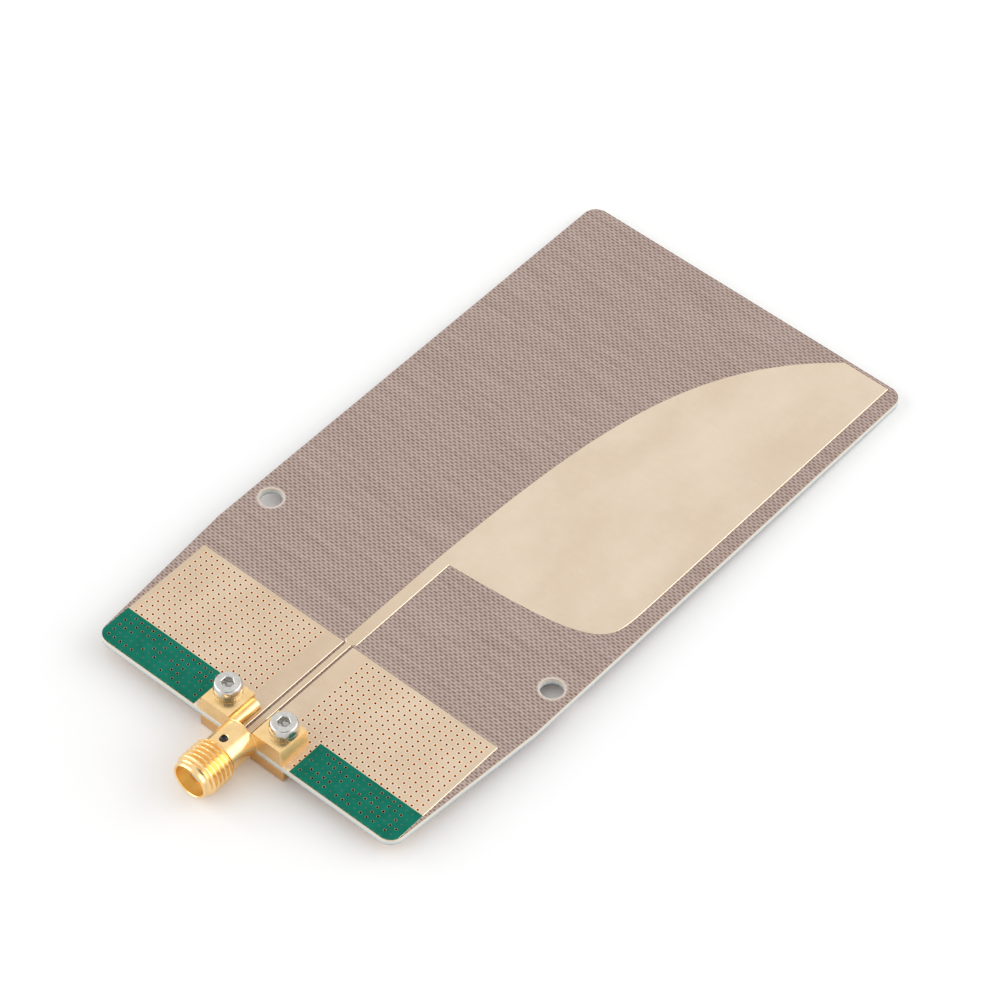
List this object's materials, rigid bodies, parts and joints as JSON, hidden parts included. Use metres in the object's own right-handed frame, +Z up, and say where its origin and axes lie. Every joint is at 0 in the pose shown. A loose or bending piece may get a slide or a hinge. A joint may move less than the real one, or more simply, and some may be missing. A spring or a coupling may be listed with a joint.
{
  "type": "tapered-slot antenna",
  "caption": "Flat printed tapered-slot antenna: thin laminate board with an exponential copper fin on each face, fed by a coaxial end-launch jack clamped to its edge.",
  "frame": {"origin": "midway between the two mounting holes, on the underside of the laminate", "axes": "+Y along the board in the direction of radiation, away from the jack; +Z up, out of the component side; +X to the right, towards the component-side fin"},
  "size_m": [0.054, 0.1108, 0.0075],
  "materials": {
    "laminate": "bare woven-glass laminate, matte",
    "copper": "gold-flashed copper foil, satin",
    "solder_mask": "green solder mask, glossy",
    "gold": "gold plated, bright",
    "bead": "white fluoropolymer",
    "epoxy": "black epoxy, glossy",
    "steel": "stainless steel, fine turned"
  },
  "bodies": {
    "root": {"laminate": "laminate", "ground_left": "copper", "ground_right": "copper", "radiator_top": "copper", "radiator_bottom": "copper", "mask_left": "solder_mask", "mask_right": "solder_mask", "jack_body": "gold", "dielectric": "bead", "centre_contact": "gold", "port_plug": "epoxy", "lower_clamp": "gold", "screw_left": "steel", "screw_right": "steel"}
  },
  "joints": []
}
